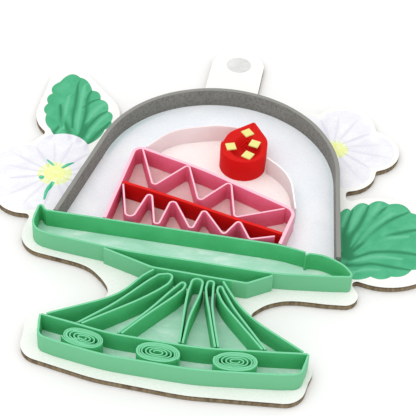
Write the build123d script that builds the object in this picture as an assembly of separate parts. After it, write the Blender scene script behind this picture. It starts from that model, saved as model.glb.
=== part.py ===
from build123d import *
from math import acos, asin, atan2, ceil, cos, degrees, hypot, pi, radians, sin, tan
import os

# Quilled paper picture of a cake slice under a glass dome on a footed stand.
# Card strips stand on edge on a printed sheet, which is glued to a laser-cut board.
# Millimetres. The plan is drawn with x = 0 on the dome's axis and y up the picture.
# At the end every piece moves so that the origin is the middle of the board's underside.

# Heights and card thicknesses, the gap between glued strips, and how much of its
# thickness a strip keeps off a neighbour that its end meets at a slant
board_thickness = 1.2
sheet_thickness = 0.2
strip_width = 5.0
green_card = 0.5
zigzag_card = 0.45
cake_card = 0.85
jam_card = 0.85
cream_card = 0.4
dome_card = 1.1
glue_gap = 0.12
slant_allowance = 0.125

# Rolls, zigzags and the board's outline are drawn in chords, to keep the model light
chord_error = 0.03
board_chord_error = 0.045
berry_chord_error = 0.06
widest_chord_angle = 24.0

# Dome: an arch with straight legs that flare outwards, each by its own angle
dome_radius = 29.95
dome_centre_y = 10.8
dome_flare_left = 10.3
dome_flare_right = 6.5
dome_right_foot_y = -15.2

# Plate: a rim strip across the top, and a bowl strip round the ends and below
rim_y = -14.15
rim_left_x = -36.7
rim_right_x = 19.5
rim_tip = (24.9, -15.1)
rim_tip_radius = 25.0
bowl_start = [(25.45, -16.2), (26.15, -15.2), (29.6, -15.15), (34.9, -17.4)]
bowl_floor = [(-39.5, -21.3), (-17.5, -23.5), (19.0, -23.7), (37.6, -21.05)]
bowl_end = [(-39.2, -11.3), (-37.15, -14.05)]
bowl_radii = [0.8, 6.0, 6.0, 0.9, 60.0, 60.0, 4.2, 0.6]

# Collar: a shallow tray that hangs below the bowl strip
collar_left_x = -20.7
collar_right_x = 18.9
collar_floor = [(-8.6, -27.5), (13.5, -28.0)]
collar_radii = [5.0, 1.5]

# Foot: two bowed sides from the collar to the base strip, and a strip that closes the band
foot_top_x = 8.1
foot_end_x = 28.6
foot_left_bends = [(-10.3, -30.3), (-13.4, -37.2)]
foot_left_radii = [1.5, 14.0]
foot_right_bends = [(14.0, -37.4)]
foot_right_radii = [25.0]
base_line = [(-29.2, -46.9), (-13.5, -49.35), (6.5, -49.45), (29.2, -46.4)]
base_radii = [30.0, 40.0]
band_corner_inset = 0.6
band_corner_radius = 2.5
band_bow_radius = 40.0

# Folded loops of the foot: x of one end, the bends over the crown, x of the other end
loop_end_rise = 0.25
loops = [
    (-21.2, [(-14.6, -40.5), (-6.9, -29.3), (-3.0, -28.1), (-3.6, -31.9), (-9.6, -38.3)], -20.4,
     [20.0, 1.5, 1.2, 4.0, 25.0]),
    (-11.9, [(-6.4, -40.3), (0.35, -27.6), (-0.05, -32.8), (-7.2, -42.6)], -11.15,
     [30.0, 0.8, 4.0, 30.0]),
    (1.7, [(0.75, -33.4), (0.95, -28.7), (3.75, -28.7), (3.85, -32.2), (2.4, -41.5)], 2.45,
     [10.0, 1.4, 1.35, 6.0, 20.0]),
    (9.7, [(6.0, -36.6), (4.4, -31.6), (4.6, -28.75), (6.3, -28.75), (6.45, -33.5), (6.75, -36.5)], 10.4,
     [20.0, 3.0, 0.8, 0.8, 8.0, 8.0]),
    (19.9, [(9.2, -35.5), (7.05, -32.0), (7.1, -29.7), (8.15, -30.2), (11.1, -35.6)], 20.6,
     [12.0, 1.5, 0.65, 0.45, 20.0]),
]

# Coils of the foot: oval rolls that fill the band's height
coil_card = 0.32
coil_turn_gap = 0.05
coil_width = 9.8
coil_height = 5.6
coil_tight_turns = 3.5
coil_full_height_turn = 0.2
coil_eye = 0.35
coil_squareness = 2.3
coil_points_per_turn = 16
coils = [(-18.6, 202.5), (-2.3, 337.5), (14.2, 157.5)]

# Cake slice: outline strip, jam strip and a zigzag above and below the jam
cake_left_foot_x = -22.9
cake_right_foot_x = 19.1
cake_line = [(-21.0, 13.6), (-2.0, 7.9), (21.2, -1.7)]
cake_radii = [2.0, 60.0, 2.8]
jam_left_y = -0.35
jam_right_y = -10.15
jam_bends = [(-9.2, -3.05), (7.4, -7.4)]
jam_radii = [80.0, 80.0]

# Zigzag folds in order: x, how far the fold stays off its neighbour, and fold radius
upper_folds = [
    (-18.7, 0.0, 0.0), (-14.4, 1.6, 0.8), (-6.6, 0.0, 0.7), (-2.6, 1.5, 0.8),
    (4.6, 0.0, 0.8), (7.4, 0.0, 0.8), (18.6, 0.35, 0.0),
]
lower_folds = [
    (-21.0, 0.0, 0.0), (-17.3, 1.65, 1.2), (-13.5, 0.85, 0.7), (-10.5, 0.45, 0.7),
    (-7.4, 0.6, 0.9), (-2.3, 0.85, 0.6), (0.4, 0.25, 0.7), (5.6, 0.55, 0.6),
    (8.9, 0.0, 0.7), (12.2, 0.0, 0.7), (17.9, 0.8, 0.0),
]

# Cream: a strip on each side of the strawberry
cream_left_x = -18.6
cream_left_bends = [(-13.4, 21.6), (-1.0, 26.3)]
cream_left_radii = [14.0, 18.0]
cream_left_meets_berry = 6.3
cream_right_x = 20.9
cream_right_bends = [(18.4, 11.2)]
cream_right_radii = [14.0]
cream_right_berry_angle = -10.5

# Strawberry: a tight roll pinched to a point, pressed down in the middle, with four seeds
berry_centre = (5.7, 17.25)
berry_radius = 5.9
berry_shoulder_distance = 2.1
berry_shoulder_radius = 5.6
berry_point_length = 10.45
berry_point_direction = 84.2
berry_point_radius = 0.35
berry_point_turns = 6
berry_core_shift = 0.52
berry_eye_radius = 0.6
berry_height = 6.3
berry_card = 0.5
berry_turn_gap = 0.08
berry_high_turns = [4, 6, 8]
berry_dish_step = 0.5
seed_size = 2.4
seed_thickness = 0.35
seeds = [(5.78, 22.7, 42.0), (2.48, 16.55, 22.0), (8.16, 18.85, -14.0), (7.15, 14.21, -22.0)]

# Board: its outline follows the printed picture, with a leaf and a blossom at each side
arch_margin = 2.0
plate_margin = 2.2
foot_margin = 3.8
foot_print_left_bends = [(-12.5, -30.3), (-15.6, -37.2)]
stand_print_shift = (-0.3, -0.8)
stand_print_turn = -1.85
stand_notch_radius = 8.0
neck_notch_radius = 4.0
petal_notch_radius = 1.2
knob_centre = (-1.9, 58.0)
knob_board_radius = 7.1
petal_distance = 8.8
petal_board_radius = 8.2
petal_count = 5
blossoms = [((-39.8, 4.0), 92.0), ((27.5, 29.5), -67.0)]
leaf_board_margin = 2.2
leaves = [
    ((-36.5, 20.5), 112.0, (8.2, 8.7), (22.5, 3.2)),
    ((34.0, -3.2), 4.0, (9.0, 13.2), (20.5, 3.5)),
]

print_top = board_thickness + sheet_thickness
green_step = green_card + glue_gap
band_height = coil_height + green_card + 2 * glue_gap


# Geometry that the strips share


def beside(line, x, distance):
    """Point at a distance to the left of a line of points, square to it at x."""
    spans = [(a, b) for a, b in zip(line, line[1:]) if a[0] <= x <= b[0]]
    (ax, ay), (bx, by) = spans[0]
    length = hypot(bx - ax, by - ay)
    y = ay + (by - ay) * (x - ax) / (bx - ax)
    return (x - distance * (by - ay) / length, y + distance * (bx - ax) / length)


def bent(points, radii):
    """Centre line of a strip: straight runs with an arc at each inner point."""
    return FilletPolyline(*points, radius=radii)


def around(stops):
    """Centre line that runs straight between circles and turns round each of them.

    A stop is a centre and a radius, positive where the strip turns left.
    The two ends have a radius of zero.
    """
    headings = []
    for (a, radius_a), (b, radius_b) in zip(stops, stops[1:]):
        apart = hypot(b[0] - a[0], b[1] - a[1])
        headings.append(atan2(b[1] - a[1], b[0] - a[0]) - asin((radius_b - radius_a) / apart))
    edges = []
    for k, heading in enumerate(headings):
        ends = [(c[0] + r * sin(heading), c[1] - r * cos(heading)) for c, r in stops[k:k + 2]]
        edges.append(Line(*ends))
        if k + 1 < len(headings):
            centre, radius = stops[k + 1]
            turn = degrees(headings[k + 1] - heading)
            turn = turn % 360 if radius > 0 else -(-turn % 360)
            quarter = -90 if radius > 0 else 90
            edges.append(CenterArc(centre, abs(radius), degrees(heading) + quarter, turn))
    return Curve() + edges


def in_chords(wire, error):
    """Line through points of a wire, with its arcs as chords that stray from them by no more than an error."""
    points = []
    passed = 0.0
    for edge in wire.order_edges():
        chords = 1
        if edge.geom_type == GeomType.CIRCLE:
            widest = min(2 * acos(1 - error / edge.radius), radians(widest_chord_angle))
            chords = ceil(edge.length / edge.radius / widest)
        points += [wire @ ((passed + edge.length * k / chords) / wire.length) for k in range(chords)]
        passed += edge.length
    if not wire.is_closed:
        points.append(wire @ 1)
    return Polyline(*points, close=wire.is_closed)


def standing(path, card, height=strip_width):
    """A strip of card on edge along its centre line, on the printed sheet."""
    return Pos(0, 0, print_top) * extrude(trace(path, card), height)


def closed_face(path):
    """Face inside a strip's centre line, closed by a straight line between its ends."""
    return make_face([*path.edges(), Line(path @ 1, path @ 0)])


# Dome and plate


def dome_path():
    """Arch and straight legs: the left one stands on the rim strip, the right one beside its tip."""
    left_flare = radians(dome_flare_left)
    right_flare = radians(dome_flare_right)
    left_top = (-dome_radius * cos(left_flare), dome_centre_y + dome_radius * sin(left_flare))
    right_top = (dome_radius * cos(right_flare), dome_centre_y + dome_radius * sin(right_flare))
    left_foot_y = rim_y + green_card / 2 + glue_gap + dome_card / 2 * sin(left_flare)
    left_foot = (left_top[0] - (left_top[1] - left_foot_y) * tan(left_flare), left_foot_y)
    right_foot = (right_top[0] + (right_top[1] - dome_right_foot_y) * tan(right_flare), dome_right_foot_y)
    centre = (0, dome_centre_y)
    arch = CenterArc(centre, dome_radius, dome_flare_right, 180 - dome_flare_left - dome_flare_right)
    return Curve() + [Line(right_foot, right_top), arch, Line(left_top, left_foot)]


def rim_path():
    return bent([(rim_left_x, rim_y), (rim_right_x, rim_y), rim_tip], [rim_tip_radius])


def bowl_path():
    return bent([*bowl_start, *reversed(bowl_floor), *bowl_end], bowl_radii)


def collar_points():
    left_end = beside(bowl_floor, collar_left_x, -green_step)
    right_end = beside(bowl_floor, collar_right_x, -green_step)
    return [left_end, *collar_floor, right_end]


# Foot


def foot_side_points(side, bends):
    top = beside(collar_floor, side * foot_top_x, -green_step)
    end = beside(base_line, side * foot_end_x, green_step)
    return [top, *bends, end]


def loop_path(first_x, bends, last_x, radii):
    """A strip folded round its crown, with both ends side by side above the base strip."""
    rise = green_step + loop_end_rise - green_card / 2
    first_end = beside(base_line, first_x, rise)
    last_end = beside(base_line, last_x, rise)
    return bent([first_end, *bends, last_end], radii)


def band_path():
    """Strip below the base strip, one coil's height away, with rounded corners."""
    (left_x, left_y), low_left, low_right, (right_x, right_y) = base_line
    points = [
        (left_x - green_step, left_y),
        (left_x - green_step + band_corner_inset, left_y - band_height),
        (low_left[0], low_left[1] - band_height),
        (low_right[0], low_right[1] - band_height),
        (right_x + green_step - band_corner_inset, right_y - band_height),
        (right_x + green_step, right_y),
    ]
    return bent(points, [band_corner_radius, band_bow_radius, band_bow_radius, band_corner_radius])


def oval_coil(x, start_angle):
    """Oval roll: tight turns outside, a loose turn, and a small round roll inside that."""
    pitch = coil_card + coil_turn_gap
    turns = coil_full_height_turn + (coil_height / 2 - coil_card - coil_eye) / pitch
    steps = int(turns * coil_points_per_turn)
    sides = []
    for inset in (0.0, coil_card):
        points = []
        for k in range(steps + 1):
            turn = turns * k / steps
            angle = radians(start_angle) + 2 * pi * turn
            loose = min(max(turn - coil_tight_turns, 0), 1)
            slack = (coil_width - coil_height) / 2 * loose**2 * (3 - 2 * loose)
            inward = inset + pitch * (turn - coil_full_height_turn)
            wide = coil_width / 2 - inward - slack
            high = coil_height / 2 - inward
            square = abs(cos(angle)) ** coil_squareness + abs(sin(angle)) ** coil_squareness
            reach = square ** (-1 / coil_squareness)
            points.append((wide * reach * cos(angle), high * reach * sin(angle)))
        sides.append(Polyline(*points))
    outer, inner = sides
    outline = make_face([outer, inner, Line(outer @ 0, inner @ 0), Line(outer @ 1, inner @ 1)])
    centre = beside(base_line, x, -(green_card / 2 + glue_gap + coil_height / 2))
    near_left = beside(base_line, x - 1, 0)
    near_right = beside(base_line, x + 1, 0)
    tilt = degrees(atan2(near_right[1] - near_left[1], near_right[0] - near_left[0]))
    return Pos(*centre, print_top) * Rot(0, 0, tilt) * extrude(outline, strip_width)


# Cake, cream and strawberry


def cake_foot(x):
    """End of the cake's outline strip, on top of the plate's rim strip."""
    return (x, rim_y + green_card / 2 + glue_gap + slant_allowance * cake_card)


def cake_path():
    return bent([cake_foot(cake_left_foot_x), *cake_line, cake_foot(cake_right_foot_x)], cake_radii)


def jam_line():
    """Jam strip's points, with both ends just inside the cake's side walls."""
    ends = []
    for foot_x, corner, y, side in (
        (cake_left_foot_x, cake_line[0], jam_left_y, 1),
        (cake_right_foot_x, cake_line[-1], jam_right_y, -1),
    ):
        foot = cake_foot(foot_x)
        wall_x = foot[0] + (corner[0] - foot[0]) * (y - foot[1]) / (corner[1] - foot[1])
        inset = cake_card / 2 + glue_gap + slant_allowance * jam_card
        ends.append((wall_x + side * inset, y))
    return [ends[0], *jam_bends, ends[1]]


def zigzag_path(folds, floor, ceiling):
    """Folded strip between two neighbours: even folds lean on the ceiling, odd on the floor."""
    stops = []
    for k, (x, off, radius) in enumerate(folds):
        line, card = floor if k % 2 else ceiling
        upward = 1 if k % 2 else -1
        reach = card / 2 + glue_gap + off + zigzag_card / 2 + radius
        stops.append((beside(line, x, upward * reach), upward * radius))
    return in_chords(Wire(around(stops).edges()), chord_error)


def berry_place(along, across):
    """Point of the plan from the strawberry's centre: towards its point, and to the left of that."""
    toward = (cos(radians(berry_point_direction)), sin(radians(berry_point_direction)))
    return (
        berry_centre[0] + along * toward[0] - across * toward[1],
        berry_centre[1] + along * toward[1] + across * toward[0],
    )


def berry_reach():
    """Distance from the strawberry's centre to the middle of its rounded point."""
    return berry_point_length - berry_card / 2 - berry_point_radius


def cream_foot(x):
    """End of a cream strip, on top of the cake's outline strip."""
    return beside(cake_line, x, cake_card / 2 + glue_gap + cream_card / 2)


def cream_left_path():
    """From the cake's left corner over the top, as far as the flank of the strawberry's point."""
    shoulder = berry_shoulder_radius - berry_card / 2
    reach = berry_reach() - berry_shoulder_distance
    lean = asin((shoulder - berry_point_radius) / reach)
    flank = shoulder - (shoulder - berry_point_radius) * cream_left_meets_berry / reach
    across = (flank + berry_card / 2 + glue_gap + cream_card / 2) / cos(lean)
    end = berry_place(berry_shoulder_distance + cream_left_meets_berry, across)
    return bent([cream_foot(cream_left_x), *cream_left_bends, end], cream_left_radii)


def cream_right_path():
    """From the strawberry's side down to the cake's right corner."""
    reach = berry_radius + glue_gap + cream_card / 2
    angle = radians(cream_right_berry_angle)
    start = (berry_centre[0] + reach * cos(angle), berry_centre[1] + reach * sin(angle))
    return bent([start, *cream_right_bends, cream_foot(cream_right_x)], cream_right_radii)


def teardrop_stops():
    """Circles that the strawberry's roll goes round, from the outside in.

    Each pointed turn has a large circle, a shoulder on both ways and a small circle at the point,
    set so that the turns lie side by side.
    The core is round: half turns about two centres, half a pitch apart.
    """
    pitch = berry_card + berry_turn_gap
    large = berry_radius - berry_card / 2
    shoulder = berry_shoulder_radius - berry_card / 2
    shoulder_place = berry_place(berry_shoulder_distance, 0)
    reach = berry_reach() - berry_shoulder_distance
    stops = [(berry_place(berry_turn_gap, large), 0.0)]
    for turn in range(berry_point_turns):
        stops.append((berry_centre, large))
        stops.append((shoulder_place, shoulder))
        stops.append((berry_place(berry_shoulder_distance + reach, 0), berry_point_radius))
        stops.append((shoulder_place, shoulder))
        large -= pitch
        shoulder -= pitch
        reach *= 1 - pitch / (shoulder + pitch - berry_point_radius)
    side = -1
    while large > berry_eye_radius:
        centre_across = 0 if side < 0 else -berry_core_shift * pitch
        stops.append((berry_place(0, centre_across), large))
        end = berry_place(-side * berry_turn_gap, centre_across + side * large)
        large -= pitch / 2
        side = -side
    return [*stops, (end, 0.0)]


def strawberry():
    """Tight roll, pressed down in steps from turn to turn towards its middle."""
    path = in_chords(Wire(around(teardrop_stops()).edges()), berry_chord_error)
    roll = standing(path, berry_card, berry_height)
    for step, turns in enumerate(berry_high_turns, 1):
        radius = berry_radius - turns * (berry_card + berry_turn_gap) + berry_turn_gap / 2
        depth = step * berry_dish_step
        press = extrude(Circle(radius), berry_dish_step)
        roll -= Pos(*berry_centre, print_top + berry_height - depth) * press
    return roll


def seed(x, y, turn):
    square = Rot(0, 0, turn) * Rectangle(seed_size, seed_size)
    return Pos(x, y, print_top + berry_height) * extrude(square, seed_thickness)


# Board and sheet


def blossom(centre, first_angle):
    petals = Sketch()
    for k in range(petal_count):
        angle = radians(first_angle + 360 * k / petal_count)
        x = centre[0] + petal_distance * cos(angle)
        y = centre[1] + petal_distance * sin(angle)
        petals += Pos(x, y) * Circle(petal_board_radius)
    return petals


def leaf(stalk, direction, body, tip):
    """Leaf outline: a round body that runs out to a narrower tip."""
    edges = []
    for along, radius in (body, tip):
        edges += (Pos(along, 0) * Circle(radius + leaf_board_margin)).edges()
    return Pos(*stalk) * Rot(0, 0, direction) * make_hull(edges)


def closed_up(shape, radius):
    """Round off the inner corners of an outline."""
    return offset(offset(shape, radius), -radius)


def stand_outline():
    """Board under the plate and foot: the strips' outlines with a margin, printed a little askew."""
    plate = offset(closed_face(bowl_path()), green_card / 2 + plate_margin)
    tray = offset(make_face(Polyline(*collar_points(), close=True)), green_card / 2 + plate_margin)
    sides = [*foot_side_points(-1, foot_print_left_bends), *reversed(foot_side_points(1, foot_right_bends))]
    stem = offset(make_face(Polyline(*sides, close=True)), green_card / 2 + foot_margin)
    band = offset(closed_face(band_path()), green_card / 2 + plate_margin)
    askew = Pos(stand_print_shift[0], rim_y + stand_print_shift[1]) * Rot(0, 0, stand_print_turn)
    return askew * Pos(0, -rim_y) * closed_up(plate + tray + stem + band, stand_notch_radius)


def arch_outline():
    arch = offset(closed_face(dome_path()), dome_card / 2 + arch_margin)
    neck_height = knob_centre[1] - dome_centre_y
    neck = Pos(knob_centre[0], knob_centre[1] - neck_height / 2) * Rectangle(2 * knob_board_radius, neck_height)
    return arch + neck + Pos(*knob_centre) * Circle(knob_board_radius)


def picture_outline():
    outline = closed_up(arch_outline() + stand_outline(), neck_notch_radius)
    for centre, first_angle in blossoms:
        outline += blossom(centre, first_angle)
    for stalk, direction, body, tip in leaves:
        outline += leaf(stalk, direction, body, tip)
    outline = closed_up(outline, petal_notch_radius)
    return make_face(in_chords(outline.face().outer_wire(), board_chord_error))


outline = picture_outline()
jam_points = jam_line()
floor_of_upper = (jam_points, jam_card)
rim_top = ([(rim_left_x, rim_y), (rim_right_x, rim_y)], green_card)

pieces = {
    "backing_board": extrude(outline, board_thickness),
    "printed_sheet": Pos(0, 0, board_thickness) * extrude(outline, sheet_thickness),
    "dome_strip": standing(dome_path(), dome_card),
    "plate_rim_strip": standing(rim_path(), green_card),
    "plate_bowl_strip": standing(bowl_path(), green_card),
    "collar_strip": standing(bent(collar_points(), collar_radii), green_card),
    "foot_left_strip": standing(bent(foot_side_points(-1, foot_left_bends), foot_left_radii), green_card),
    "foot_right_strip": standing(bent(foot_side_points(1, foot_right_bends), foot_right_radii), green_card),
    "foot_base_strip": standing(bent(base_line, base_radii), green_card),
    "foot_bottom_strip": standing(band_path(), green_card),
    "cake_outline_strip": standing(cake_path(), cake_card),
    "jam_strip": standing(bent(jam_points, jam_radii), jam_card),
    "zigzag_upper": standing(zigzag_path(upper_folds, floor_of_upper, (cake_line, cake_card)), zigzag_card),
    "zigzag_lower": standing(zigzag_path(lower_folds, rim_top, floor_of_upper), zigzag_card),
    "cream_left_strip": standing(cream_left_path(), cream_card),
    "cream_right_strip": standing(cream_right_path(), cream_card),
    "strawberry_coil": strawberry(),
}
for number, loop in enumerate(loops, 1):
    pieces[f"foot_loop_{number}"] = standing(loop_path(*loop), green_card)
for number, coil in enumerate(coils, 1):
    pieces[f"foot_coil_{number}"] = oval_coil(*coil)
for number, place in enumerate(seeds, 1):
    pieces[f"seed_{number}"] = seed(*place)

box = pieces["backing_board"].bounding_box()
to_origin = Pos(-box.center().X, -box.center().Y, 0)
os.makedirs("parts", exist_ok=True)
for name, piece in pieces.items():
    export_step(to_origin * piece, f"parts/{name}.step")
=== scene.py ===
from math import ceil, cos, pi, radians, sin

import bmesh
import bpy
from mathutils import Matrix, Vector
from mathutils.geometry import delaunay_2d_cdt, intersect_point_line


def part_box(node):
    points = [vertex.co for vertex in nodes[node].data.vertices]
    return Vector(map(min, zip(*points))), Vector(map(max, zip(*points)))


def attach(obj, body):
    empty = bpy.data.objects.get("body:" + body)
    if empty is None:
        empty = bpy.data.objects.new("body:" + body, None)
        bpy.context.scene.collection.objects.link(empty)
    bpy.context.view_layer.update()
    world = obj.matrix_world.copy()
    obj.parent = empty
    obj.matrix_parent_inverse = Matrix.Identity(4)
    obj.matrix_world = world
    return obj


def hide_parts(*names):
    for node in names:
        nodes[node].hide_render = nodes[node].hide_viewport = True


# Quilled paper picture of a cake slice under a dome on a footed stand.
# Card strips stand on edge on a printed sheet over a laser-cut board.
# Blender works in metres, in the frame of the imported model. Sizes in this script are in millimetres.

MM = 0.001
SHEET_BOTTOM = 1.2
PRINT_TOP = 1.4
STRIP_WIDTH = 5.0

# Card strips: how round their slit edges are, and how far their tops stray up, down and sideways
CARD_EDGE = 0.07
THICK_CARD_EDGE = 0.12
HEIGHT_WAVER = 0.16
SIDE_WAVER = 0.14
WAVER_LENGTH = 8.0
# The noise lies round 0.5; taking a little more from its height lets tops stray down rather than up
WAVER_MIDDLE = (0.5, 0.5, 0.56)

# Reading a strip's line from its CAD outline: a corner, a strip's cut end, and how finely arcs are redrawn
CORNER_TURN = radians(32)
END_TURN = radians(60)
END_TOLERANCE = 0.3
TURN_STEP = radians(5)
LONGEST_STEP = 1.5
# A run this many times as long as the next one is a straight, and not a chord of the same arc
STRAIGHT_RATIO = 3
# Points nearer than this are one point: on an outline, on a strip's middle line, and where lines meet
SAME_OUTLINE_POINT = 1e-4
SAME_LINE_POINT = 0.02
SAME_MEETING_POINT = 0.05
# A face looks up when its normal's height is over this
LOOKS_UP = 0.9
# Edges that turn more than this are drawn sharp
SHARP_EDGE = radians(50)

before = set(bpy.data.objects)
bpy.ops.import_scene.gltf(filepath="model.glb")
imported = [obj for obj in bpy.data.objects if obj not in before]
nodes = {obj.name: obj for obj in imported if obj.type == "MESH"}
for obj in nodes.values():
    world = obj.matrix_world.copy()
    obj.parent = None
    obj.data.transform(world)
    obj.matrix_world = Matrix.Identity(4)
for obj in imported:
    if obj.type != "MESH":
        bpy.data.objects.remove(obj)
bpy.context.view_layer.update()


# Materials


def linear(hex_colour):
    """An sRGB hex colour as the linear colour that a socket takes."""
    parts = [int(hex_colour[k:k + 2], 16) / 255 for k in (1, 3, 5)]
    return tuple(c / 12.92 if c <= 0.04045 else ((c + 0.055) / 1.055) ** 2.4 for c in parts) + (1.0,)


def add(tree, kind, inputs=None, stops=(), **settings):
    """Add a node with its settings, colour stops and inputs; an output given as an input is linked to it."""
    made = tree.nodes.new(kind)
    for name, value in settings.items():
        setattr(made, name, value)
    for name, value in (inputs or {}).items():
        if isinstance(value, bpy.types.NodeSocket):
            tree.links.new(value, made.inputs[name])
        else:
            made.inputs[name].default_value = value
    for k, (place, colour) in enumerate(stops):
        elements = made.color_ramp.elements
        element = elements[k] if k < len(elements) else elements.new(place)
        element.position = place
        element.color = linear(colour)
    return made


def plain_material(name, roughness, specular):
    """Empty material, its node tree and its shader."""
    material = bpy.data.materials.new(name)
    material.use_nodes = True
    shader = material.node_tree.nodes["Principled BSDF"]
    shader.inputs["Roughness"].default_value = roughness
    shader.inputs["Specular IOR Level"].default_value = specular
    return material, material.node_tree, shader


def dyed_card_with_painted_light(name, wall, deep, edge, fleck, fleck_strength=0.25, painted_lit_side=None, fibre=0.35, gloss=0.4):
    """Quilling paper dyed in the pulp and slit into strips.

    To the eye: matt walls of one clear colour with faint clouds and flecks of fibre. The slit edge, the
    face that looks up, is painted paler, a painted highlight for the light that falls on it from above.
    Sides that face out of the picture's shapes are painted paler and hazier than those in the pockets,
    a painted haze of the light they catch from the white sheet in front of them; the mesh's own
    "painted_lit_side" attribute marks them.
    The fibre is how far apart its flecks lie, in millimetres.
    """
    material, tree, shader = plain_material(name, 0.72, gloss)
    place = add(tree, "ShaderNodeTexCoord").outputs["Object"]
    # Clouds in the dye, about 6 mm across
    cloud = add(tree, "ShaderNodeTexNoise", {
        "Vector": place, "Scale": 1 / (6 * MM), "Detail": 3.0,
    }).outputs["Fac"]
    uneven = add(tree, "ShaderNodeMapRange", {"Value": cloud, "From Min": 0.35, "From Max": 0.65}).outputs["Result"]
    dye = add(tree, "ShaderNodeMix", {0: uneven, 6: linear(wall), 7: linear(deep)}, data_type="RGBA").outputs[2]
    # Fibres are 0.02 mm thick; they are drawn as flecks of 0.35 mm or more, so that they show at all
    fibres = add(tree, "ShaderNodeTexNoise", {
        "Vector": place, "Scale": 1 / (fibre * MM), "Detail": 4.0,
    }).outputs["Fac"]
    flecked = add(tree, "ShaderNodeMapRange", {
        "Value": fibres, "From Min": 0.45, "From Max": 0.75, "To Max": fleck_strength,
    }).outputs["Result"]
    body = add(tree, "ShaderNodeMix", {0: flecked, 6: dye, 7: linear(fleck)}, data_type="RGBA").outputs[2]
    # Open sides are painted paler and hazier: a painted haze of the light from the white sheet in front of them
    if painted_lit_side:
        painted_lit_share = add(tree, "ShaderNodeAttribute", attribute_name="painted_lit_side").outputs["Fac"]
        body = add(tree, "ShaderNodeMix", {
            0: painted_lit_share, 6: body, 7: linear(painted_lit_side),
        }, data_type="RGBA").outputs[2]
    # The slit edge is the face that looks up; it is painted paler, a painted highlight for the light that falls on
    # it from above
    normal = add(tree, "ShaderNodeNewGeometry").outputs["Normal"]
    upward = add(tree, "ShaderNodeSeparateXYZ", {"Vector": normal}).outputs["Z"]
    painted_top_light = add(tree, "ShaderNodeMapRange", {
        "Value": upward, "From Min": 0.35, "From Max": 0.85,
    }, interpolation_type="SMOOTHSTEP").outputs["Result"]
    colour = add(tree, "ShaderNodeMix", {0: painted_top_light, 6: body, 7: linear(edge)}, data_type="RGBA").outputs[2]
    bump = add(tree, "ShaderNodeBump", {"Height": fibres, "Distance": 0.02 * MM, "Strength": 0.5}).outputs["Normal"]
    tree.links.new(colour, shader.inputs["Base Color"])
    tree.links.new(bump, shader.inputs["Normal"])
    return material


def watercolour(name, stops, pool, deep, pale, stretch=(1.0, 1.0, 1.0)):
    """Watercolour printed on matt cotton paper.

    To the eye: pigment lies in soft pools, is darker or paler along brush strokes whose sides melt
    away, and shows the paper's tooth. The strokes come from the mesh's own "tone" attribute.
    """
    material, tree, shader = plain_material(name, 0.88, 0.2)
    place = add(tree, "ShaderNodeTexCoord").outputs["Object"]
    drawn_out = add(tree, "ShaderNodeMapping", {"Vector": place, "Scale": stretch}).outputs["Vector"]
    cloud = add(tree, "ShaderNodeTexNoise", {
        "Vector": drawn_out, "Scale": 1 / (pool * MM), "Detail": 4.0, "Distortion": 0.6,
    }).outputs["Fac"]
    wash = add(tree, "ShaderNodeValToRGB", {"Fac": cloud}, stops).outputs["Color"]
    tone = add(tree, "ShaderNodeAttribute", attribute_name="tone").outputs["Fac"]
    pooled = add(tree, "ShaderNodeMapRange", {"Value": tone}, interpolation_type="SMOOTHSTEP").outputs["Result"]
    raised = add(tree, "ShaderNodeMath", {0: tone, 1: -1.0}, operation="MULTIPLY").outputs["Value"]
    lifted = add(tree, "ShaderNodeMapRange", {"Value": raised}, interpolation_type="SMOOTHSTEP").outputs["Result"]
    darker = add(tree, "ShaderNodeMix", {0: pooled, 6: wash, 7: linear(deep)}, data_type="RGBA").outputs[2]
    paler = add(tree, "ShaderNodeMix", {0: lifted, 6: darker, 7: linear(pale)}, data_type="RGBA").outputs[2]
    # Paper tooth, 0.5 mm apart
    tooth = add(tree, "ShaderNodeTexNoise", {"Vector": place, "Scale": 1 / (0.5 * MM), "Detail": 3.0}).outputs["Fac"]
    grainy = add(tree, "ShaderNodeMapRange", {
        "Value": tooth, "From Min": 0.4, "From Max": 0.7, "To Min": 0.94, "To Max": 1.0,
    }).outputs["Result"]
    colour = add(tree, "ShaderNodeVectorMath", {0: paler, "Scale": grainy}, operation="SCALE").outputs["Vector"]
    bump = add(tree, "ShaderNodeBump", {"Height": tooth, "Distance": 0.02 * MM, "Strength": 0.4}).outputs["Normal"]
    tree.links.new(colour, shader.inputs["Base Color"])
    tree.links.new(bump, shader.inputs["Normal"])
    return material


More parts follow.
